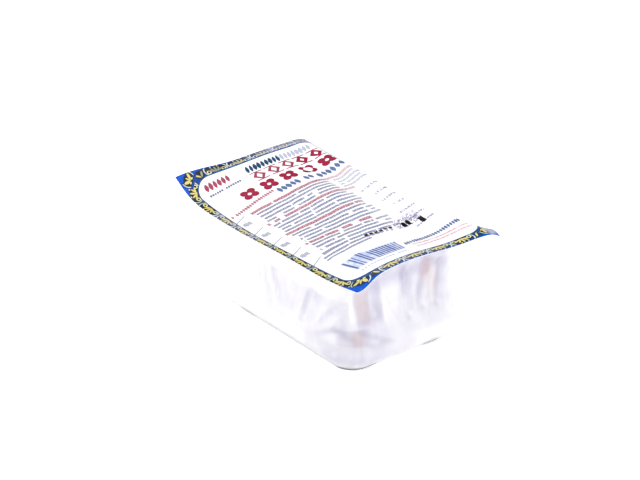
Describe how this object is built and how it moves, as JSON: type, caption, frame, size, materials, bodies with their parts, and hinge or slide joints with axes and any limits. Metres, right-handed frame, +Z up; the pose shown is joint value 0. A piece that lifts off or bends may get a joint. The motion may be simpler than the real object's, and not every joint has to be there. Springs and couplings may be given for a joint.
{
  "type": "packed tofu block",
  "caption": "Tofu block sealed with its water in a deep soft pocket of clear film, under a larger wavy sheet of printed lidding film.",
  "frame": {"origin": "centre of the pack's plan on the surface it stands on", "axes": "+X along the pack's length, +Y across it towards the long side whose rim folds down, +Z up"},
  "size_m": [0.155, 0.093, 0.0646],
  "materials": {
    "printed_film": "white lidding film with a royal blue printed rim, gold scrolls and crimson and blue-grey bars, satin gloss",
    "filled_clear_film": "clear glossy soft film, creased, over white tofu and a little cloudy water"
  },
  "bodies": {
    "root": {"printed_lid": "printed_film", "film_pocket": "filled_clear_film"}
  },
  "joints": []
}
